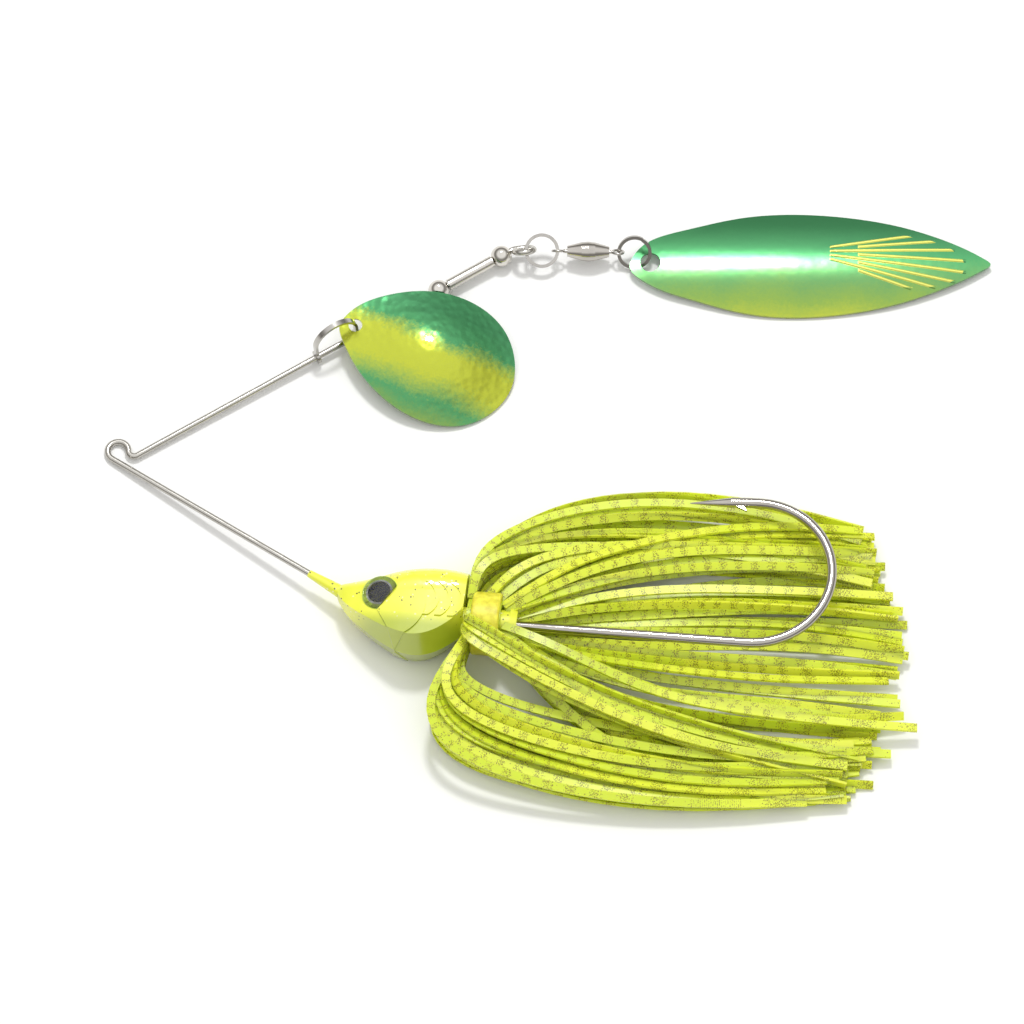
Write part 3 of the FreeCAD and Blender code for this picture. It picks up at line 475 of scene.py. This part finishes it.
# guides of a lobe: (back, side, lowest, highest) from the band to the free end
GUIDES = {
    "lower_outer": [
        (-2.7, -3.2, 3.0, 8.0), (-4.2, -6.5, 2.0, 9.0),
        (-7.4, -12, 1.0, 9.0), (-6.5, -18, 0.8, 8.0),
        (-1, -21.8, 0.6, 7.0), (9, -23.8, 0.5, 5.5), (22, -24.6, 0.5, 4.5),
        (36, -23.6, 0.4, 3.5), (50, -21, 0.4, 2.5),
    ],
    "lower_inner": [
        (-2.7, -3.2, 3.0, 8.0), (-3.2, -5.8, 2.0, 9.5), (-3.5, -8.5, 1.0, 10.0), (0, -11, 0.8, 9.5),
        (7, -13, 0.6, 8.5), (18, -14.5, 0.5, 7.0), (30, -15.5, 0.5, 5.5),
        (42, -16, 0.4, 4.5), (56, -14, 0.4, 3.0),
    ],
    "upper_outer": [
        (-2.6, 3.2, 3.0, 8.0), (-2.8, 7, 2.0, 9.0), (-2.5, 12, 1.0, 9.0), (1, 17.5, 0.8, 7.5),
        (7.5, 23.4, 0.6, 6.0), (18, 27.4, 0.5, 5.0), (30, 28.2, 0.5, 4.5),
        (42, 27, 0.4, 3.5), (53, 24.6, 0.4, 2.5),
    ],
    "upper_inner": [
        (-2.6, 3.2, 3.0, 8.0), (-2.4, 6, 2.0, 9.5), (-1, 8.8, 1.5, 9.5), (4, 10.6, 1.0, 8.5),
        (11, 11.8, 0.8, 7.0), (20, 12.6, 0.6, 5.5), (32, 13.2, 0.5, 5.0),
        (44, 13.5, 0.4, 4.5), (57, 13, 0.4, 3.0),
    ],
    "rear_upper": [
        (2.6, 2.2, 3.5, 8.0), (6, 5, 2.5, 8.5), (11, 9, 2.0, 8.5), (17, 13, 1.2, 7.0),
        (24, 16.5, 0.8, 5.5), (32, 19, 0.6, 5.0), (40, 20.6, 0.5, 4.5),
        (47, 21.3, 0.4, 4.0), (54, 22, 0.4, 2.5),
    ],
    "rear_middle": [
        (2.6, -0.4, 3.0, 4.2), (6, -0.4, 2.2, 4.2), (11, -0.2, 1.5, 4.3), (17, 0.2, 1.0, 4.5),
        (25, 0.6, 0.7, 4.8), (34, 1.2, 0.5, 5.0), (43, 1.8, 0.4, 4.6),
        (52, 2.4, 0.4, 4.0), (63, 2.5, 0.4, 2.5),
    ],
    "rear_lower": [
        (2.6, -2.4, 3.0, 8.0), (6, -6, 2.2, 8.5), (11, -11, 1.5, 8.5), (17, -15, 1.0, 7.5),
        (24, -18.5, 0.7, 6.0), (32, -20.6, 0.5, 5.0), (40, -21.6, 0.4, 4.2),
        (48, -21.8, 0.4, 3.4), (56, -20, 0.4, 2.5),
    ],
    "over_upper": [
        (2.6, 1.0, 8.2, 8.6), (6, 1.6, 8.8, 9.2), (11, 2.4, 8.6, 9.0), (17, 4.2, 7.2, 7.8),
        (25, 6.5, 4.5, 5.4), (34, 8.4, 3.4, 4.6), (43, 9.6, 2.6, 3.8),
        (51, 10.2, 1.8, 3.0), (60, 10.6, 1.2, 2.2),
    ],
    "over_lower": [
        (2.6, -1.2, 8.2, 8.6), (6, -2.2, 8.8, 9.4), (11, -3.6, 8.8, 9.4), (17, -5.4, 7.6, 8.6),
        (25, -7.6, 5.6, 7.4), (34, -8.8, 4.6, 6.2), (43, -9.0, 3.6, 5.0),
        (53, -8.6, 2.6, 3.8), (65, -7.0, 1.4, 2.4),
    ],
    "folded_high": [
        (-2.7, -0.6, 9.4, 9.8), (-3.0, -1.4, 11.2, 11.6),
        (0, -2.8, 11.6, 12.0), (4, -4.6, 10.8, 11.4),
        (10, -7, 9.0, 10.0), (19, -10, 7.0, 8.4), (30, -12.6, 5.0, 6.6),
        (42, -14, 3.4, 4.8), (58, -14.5, 1.6, 3.0),
    ],
    "folded_low": [
        (-2.7, -2.6, 8.2, 8.6), (-3.4, -4.4, 9.8, 10.4),
        (-1.4, -6.4, 9.8, 10.4), (3, -8.6, 9.2, 10.2),
        (9, -11.2, 8.0, 9.2), (18, -14, 6.4, 7.6), (29, -16.6, 4.6, 6.0),
        (40, -18, 3.2, 4.4), (55, -18.5, 1.4, 2.8),
    ],
}
# which guides a bundle runs between, and how many strands it has
BUNDLES = [
    ("rear_lower", "rear_middle", 26),
    ("rear_middle", "rear_upper", 24),
    ("lower_outer", "lower_inner", 34),
    ("upper_outer", "upper_inner", 19),
    ("rear_upper", "upper_inner", 9),
    ("rear_lower", "over_lower", 10),
    ("over_upper", "rear_upper", 5),
    ("folded_low", "folded_high", 7),
]
WIDE, THICK = 0.00128, 0.00048
RINGS_PER_SPAN = 3
LOWEST = 0.75  # a strand's middle never lies lower, so its edges clear the table
LAST = 8  # number of the last guide point
SWAY, CURL, RUFFLE = 2.2, 0.7, 0.25  # how far a strand strays from its guides, mm
CURL_PITCH = 1.3  # radians from one guide point to the next
TRIMMED_FROM = 40  # a longer or shorter cut counts back from here, mm behind the band's middle


def strand_line(first, second):
    """Control points of one strand somewhere between two guides."""
    share = random.random()
    level = random.random()
    sway = random.uniform(-1.0, 1.0)
    curl = random.uniform(-1.0, 1.0)
    length = random.uniform(0.93, 1.05)
    line = []
    for k, (one, other) in enumerate(zip(GUIDES[first], GUIDES[second])):
        back, side, low, high = [a + (b - a) * share for a, b in zip(one, other)]
        grown = k / LAST
        side += sway * SWAY * grown ** 1.5 + curl * CURL * math.sin(k * CURL_PITCH) * grown
        if k == LAST:
            back = TRIMMED_FROM + (back - TRIMMED_FROM) * length
        height = low + (high - low) * level + random.uniform(-RUFFLE, RUFFLE) * grown
        line.append(from_band(back, side, max(height, LOWEST)))
    return line


profile = bpy.data.curves.new("strand_profile", "CURVE")
profile.dimensions = "2D"
edge = profile.splines.new("POLY")
edge.points.add(3)
for point, (x, y) in zip(edge.points, [(-1, -0.8), (1, -1), (1, 0.8), (-1, 1)]):
    point.co = (x * WIDE / 2, y * THICK / 2, 0, 1)
edge.use_cyclic_u = True
profile_object = bpy.data.objects.new("strand_profile", profile)
lines = bpy.data.curves.new("skirt_lines", "CURVE")
lines.dimensions = "3D"
lines.twist_mode = "Z_UP"
lines.resolution_u = RINGS_PER_SPAN
lines.bevel_mode = "OBJECT"
lines.bevel_object = profile_object
lines.use_fill_caps = True
strand_count = 0
for first, second, count in BUNDLES:
    for _ in range(count):
        spots = strand_line(first, second)
        spline = lines.splines.new("NURBS")
        spline.points.add(len(spots) - 1)
        twist = random.uniform(-0.5, 0.5)
        turn = random.choice((0.0, 0.0, 0.6, -0.6, 1.2))
        for k, spot in enumerate(spots):
            spline.points[k].co = (*spot, 1)
            spline.points[k].tilt = twist + turn * k / LAST
        spline.order_u = 4
        spline.use_endpoint_u = True
        strand_count += 1
line_object = bpy.data.objects.new("skirt_lines", lines)
bpy.context.scene.collection.objects.link(line_object)
bpy.context.view_layer.update()
depsgraph = bpy.context.evaluated_depsgraph_get()
mesh = bpy.data.meshes.new_from_object(line_object.evaluated_get(depsgraph))
bpy.data.objects.remove(line_object)
bpy.data.objects.remove(profile_object)
skirt = bpy.data.objects.new("skirt_strands", mesh)
bpy.context.scene.collection.objects.link(skirt)
per_strand = len(mesh.vertices) // strand_count
corners = 4
rings = per_strand // corners
own = mesh.attributes.new("strand", "FLOAT", "POINT")
along = mesh.attributes.new("along", "FLOAT", "POINT")
points = range(len(mesh.vertices))
own.data.foreach_set("value", [((i // per_strand) * 0.618) % 1.0 for i in points])
along.data.foreach_set("value", [((i % per_strand) // corners) / (rings - 1) for i in points])
mesh.shade_smooth()
mesh.set_sharp_from_angle(angle=math.radians(40))


BARS = 24.0  # fleck bars along a strand
FULL_TURN = 6.2832


def strand_silicone():
    """Lime silicone, a little clear, with black and gold fleck bars."""
    material = bpy.data.materials.new("skirt_silicone")
    material.use_nodes = True
    tree = material.node_tree
    silicone = tree.nodes["Principled BSDF"]
    place = add(tree, "ShaderNodeTexCoord")
    own = add(tree, "ShaderNodeAttribute", attribute_name="strand")
    along = add(tree, "ShaderNodeAttribute", attribute_name="along")
    base = add(tree, "ShaderNodeValToRGB")
    tones = base.color_ramp.elements
    tones[0].position, tones[0].color = 0.0, (0.60, 0.72, 0.03, 1)
    tones[1].position, tones[1].color = 1.0, (0.80, 0.86, 0.06, 1)
    middle = tones.new(0.5)
    middle.color = (0.70, 0.82, 0.04, 1)
    tree.links.new(own.outputs["Fac"], base.inputs[0])
    colour = base.outputs[0]
    # flecks crowd into bars across the strand
    count = add(tree, "ShaderNodeMath", operation="MULTIPLY_ADD")
    count.inputs[1].default_value = BARS
    wave = add(tree, "ShaderNodeMath", operation="SINE")
    turns = add(tree, "ShaderNodeMath", operation="MULTIPLY")
    turns.inputs[1].default_value = FULL_TURN
    tree.links.new(along.outputs["Fac"], count.inputs[0])
    tree.links.new(own.outputs["Fac"], count.inputs[2])
    tree.links.new(count.outputs[0], turns.inputs[0])
    tree.links.new(turns.outputs[0], wave.inputs[0])
    share = add(tree, "ShaderNodeMapRange", inputs={"From Min": -0.3, "From Max": 0.8})
    share.inputs["To Min"].default_value = 0.02
    share.inputs["To Max"].default_value = 0.85
    tree.links.new(wave.outputs[0], share.inputs["Value"])
    for scale, fleck in ((4200, (0.24, 0.23, 0.015)), (5600, (0.44, 0.44, 0.03))):
        specks = add(tree, "ShaderNodeGroup", node_tree=flake_specks)
        specks.inputs["Scale"].default_value = scale
        tree.links.new(place.outputs["Object"], specks.inputs["Vector"])
        tree.links.new(share.outputs[0], specks.inputs["Share"])
        over = add(tree, "ShaderNodeMix", data_type="RGBA")
        over.inputs["B"].default_value = (*fleck, 1)
        tree.links.new(specks.outputs["Mask"], over.inputs["Factor"])
        tree.links.new(colour, over.inputs["A"])
        colour = over.outputs["Result"]
    tree.links.new(colour, silicone.inputs["Base Color"])
    silicone.inputs["Roughness"].default_value = 0.34
    silicone.inputs["Subsurface Weight"].default_value = 0.5
    silicone.inputs["Subsurface Radius"].default_value = (1.0, 0.9, 0.08)
    silicone.inputs["Subsurface Scale"].default_value = 0.0012
    return material


silicone = strand_silicone()
mesh.materials.append(silicone)
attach(skirt, "lure")
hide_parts("skirt_under", "skirt_upper_lobe", "skirt_lower_lobe", "skirt_core")
finish("skirt_root", silicone)


# ---------------------------------------------------------------------------
# Clevis, beads and spacer tube. Nickel-plated brass: the clevis is a folded
# strap, the beads are drilled balls and the tube is drawn.
dark_nickel = bare_metal("dark_nickel", (0.52, 0.50, 0.47), 0.16, 0.3, 1500)
bead_nickel = bare_metal("bead_nickel", (0.72, 0.69, 0.64), 0.07, 0.12, 700)
finish("clevis", dark_nickel)
finish("front_bead", bead_nickel)
finish("rear_bead", bead_nickel)
finish("spacer_tube", bare_metal("tube_nickel", (0.70, 0.67, 0.62), 0.2, 0.4, 1900))


# ---------------------------------------------------------------------------
# Round blade. Brass pressed into a bowl over a hammered die and sprayed with
# candy lacquer: green over the back, gold through the middle.
def candy_lacquer(name, place_at, turned, colours, hammer, width, with_rib_highlights=False):
    """Clear tinted lacquer on dimpled metal. Colours run across the blade."""
    material = bpy.data.materials.new(name)
    material.use_nodes = True
    tree = material.node_tree
    lacquer = tree.nodes["Principled BSDF"]
    place = add(tree, "ShaderNodeTexCoord")
    local = add(tree, "ShaderNodeMapping", vector_type="TEXTURE")
    local.inputs["Location"].default_value = place_at
    local.inputs["Rotation"].default_value = turned
    tree.links.new(place.outputs["Object"], local.inputs["Vector"])
    split = add(tree, "ShaderNodeSeparateXYZ")
    tree.links.new(local.outputs[0], split.inputs[0])
    drift = add(tree, "ShaderNodeTexNoise", inputs={"Scale": 120.0, "Detail": 3.0, "Roughness": 0.6})
    tree.links.new(local.outputs[0], drift.inputs["Vector"])
    across = add(tree, "ShaderNodeMath", operation="MULTIPLY_ADD")
    across.inputs[1].default_value = 1 / width
    across.inputs[2].default_value = 0.5
    tree.links.new(split.outputs["Y"], across.inputs[0])
    wander = add(tree, "ShaderNodeMath", operation="MULTIPLY_ADD")
    wander.inputs[1].default_value = 0.22
    tree.links.new(drift.outputs["Fac"], wander.inputs[0])
    tree.links.new(across.outputs[0], wander.inputs[2])
    dust = add(tree, "ShaderNodeTexNoise", inputs={"Scale": 2400.0, "Detail": 3.0, "Roughness": 0.7})
    dusted = add(tree, "ShaderNodeMath", operation="MULTIPLY_ADD")
    dusted.inputs[1].default_value = 0.16
    tree.links.new(local.outputs[0], dust.inputs["Vector"])
    tree.links.new(dust.outputs["Fac"], dusted.inputs[0])
    tree.links.new(wander.outputs[0], dusted.inputs[2])
    band = add(tree, "ShaderNodeValToRGB")
    ramp = band.color_ramp
    ramp.elements.remove(ramp.elements[1])
    ramp.elements[0].position = colours[0][0]
    ramp.elements[0].color = (*colours[0][1], 1)
    for position, colour in colours[1:]:
        element = ramp.elements.new(position)
        element.color = (*colour, 1)
    tree.links.new(dusted.outputs[0], band.inputs[0])
    dents = add(tree, "ShaderNodeTexVoronoi", feature="SMOOTH_F1")
    dents.inputs["Scale"].default_value = 900.0
    dents.inputs["Smoothness"].default_value = 0.6
    tree.links.new(local.outputs[0], dents.inputs["Vector"])
    bump = add(tree, "ShaderNodeBump")
    bump.inputs["Strength"].default_value = hammer
    bump.inputs["Distance"].default_value = 0.00012
    tree.links.new(dents.outputs["Distance"], bump.inputs["Height"])
    colour = band.outputs[0]
    # Painted highlight: gold lines on the rib crests stand in for the lamp caught by the ribs.
    if with_rib_highlights:
        colour = rib_crest_highlights(tree, split, colour)
    tree.links.new(colour, lacquer.inputs["Base Color"])
    tree.links.new(bump.outputs[0], lacquer.inputs["Normal"])
    lacquer.inputs["Metallic"].default_value = 0.62
    lacquer.inputs["Roughness"].default_value = 0.22
    lacquer.inputs["Coat Weight"].default_value = 0.45
    lacquer.inputs["Coat Roughness"].default_value = 0.04
    return material


joints = {joint["name"]: joint for joint in frame["joints"]}
round_hole = Vector(joints["round_blade_swing"]["pos_m"])
round_turn = Euler((math.radians(7), math.radians(9.3), math.radians(-20.3)), "XYZ")
GREEN = (0.06, 0.32, 0.11)
DEEP = (0.05, 0.27, 0.10)
GOLD = (0.50, 0.56, 0.03)
OLIVE = (0.24, 0.36, 0.05)
finish(
    "colorado_blade",
    candy_lacquer(
        "round_lacquer", round_hole, round_turn,
        [(0.10, GOLD), (0.20, OLIVE), (0.38, GREEN), (0.56, GOLD), (0.72, GOLD), (0.84, GREEN), (0.98, DEEP)],
        0.5, 0.022,
    ),
)


# ---------------------------------------------------------------------------
# Split rings and swivel. Flat wire coiled twice for each ring; a turned brass
# barrel holds both eyes on bearing balls. All black nickel.
for node in ("front_split_ring", "rear_split_ring", "swivel_front_eye", "swivel_rear_eye", "bearing_balls"):
    finish(node, dark_nickel)
finish("swivel_barrel", bare_metal("barrel_nickel", (0.56, 0.53, 0.49), 0.1, 0.15, 800))


# ---------------------------------------------------------------------------
# Long blade. Thin brass leaf pressed with a fan of ribs towards its point,
# candy lacquered green over a gold base.
LAST_RIB = 7  # eight ribs, numbered from 0
FAN_START = 0.02705  # metres from the hole to where the first ribs begin
TAIL_START = 0.00238  # width of the fan there, metres
FAN_SPREAD, FAN_RISE = 0.526, 0.1787  # growth of its width and top edge per metre along
LATE_START = 0.0042  # how much farther out every second rib begins
OUTER_LENGTH, MIDDLE_EXTRA = 0.0117, 0.0085  # outermost ribs, and extra in the middle, metres
CREST_HIGHLIGHT_HALF = 0.00026  # half width of the painted highlight along a crest
FAN_MARGIN = 0.4  # ribs' worth of room at each side of the fan


def rib_crest_highlights(tree, split, colour):
    """Painted highlights: bright gold along the crests of the pressed ribs, where they catch the lamp,
    numbered from 0 across the fan.
    """
    def math_node(kind, first, second):
        node = add(tree, "ShaderNodeMath", operation=kind)
        for slot_number, value in enumerate((first, second)):
            if isinstance(value, (int, float)):
                node.inputs[slot_number].default_value = value
            else:
                tree.links.new(value, node.inputs[slot_number])
        return node.outputs[0]

    along = math_node("SUBTRACT", split.outputs["X"], FAN_START)
    wide = math_node("ADD", math_node("MULTIPLY", along, FAN_SPREAD), TAIL_START)
    rising = math_node("ADD", math_node("MULTIPLY", along, FAN_RISE), TAIL_START)
    below_top = math_node("SUBTRACT", rising, split.outputs["Y"])
    number = math_node("MULTIPLY", math_node("DIVIDE", below_top, wide), LAST_RIB)
    off = math_node("ABSOLUTE", math_node("SUBTRACT", number, math_node("ROUND", number, 0)), 0)
    crest = math_node("LESS_THAN", math_node("MULTIPLY", off, wide), LAST_RIB * CREST_HIGHLIGHT_HALF)
    swell = math_node("SINE", math_node("MULTIPLY", number, math.pi / LAST_RIB), 0)
    reach = math_node("MULTIPLY_ADD", swell, MIDDLE_EXTRA)
    reach.node.inputs[2].default_value = OUTER_LENGTH
    odd = math_node("MODULO", math_node("ROUND", number, 0), 2)
    start = math_node("MULTIPLY", odd, LATE_START)
    begun = math_node("GREATER_THAN", along, start)
    inside = math_node("MULTIPLY", begun, math_node("LESS_THAN", along, reach))
    past_first = math_node("GREATER_THAN", number, -FAN_MARGIN)
    fan = math_node("MULTIPLY", past_first, math_node("LESS_THAN", number, LAST_RIB + FAN_MARGIN))
    mask = math_node("MULTIPLY", math_node("MULTIPLY", crest, inside), fan)
    # pale gold of the painted highlight
    over = add(tree, "ShaderNodeMix", data_type="RGBA")
    over.inputs["B"].default_value = (0.80, 0.80, 0.16, 1)
    tree.links.new(mask, over.inputs["Factor"])
    tree.links.new(colour, over.inputs["A"])
    return over.outputs["Result"]


low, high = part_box("willow_blade")
long_hole = Vector((low[0] + 0.003, (low[1] + high[1]) / 2, high[2]))
finish(
    "willow_blade",
    candy_lacquer(
        "long_lacquer", long_hole, Euler((0, math.radians(0.3), 0)),
        [(0.22, GOLD), (0.38, (0.26, 0.42, 0.06)), (0.55, (0.14, 0.35, 0.10)), (0.75, GREEN), (1.0, DEEP)],
        0.05, 0.020, with_rib_highlights=True,
    ),
)
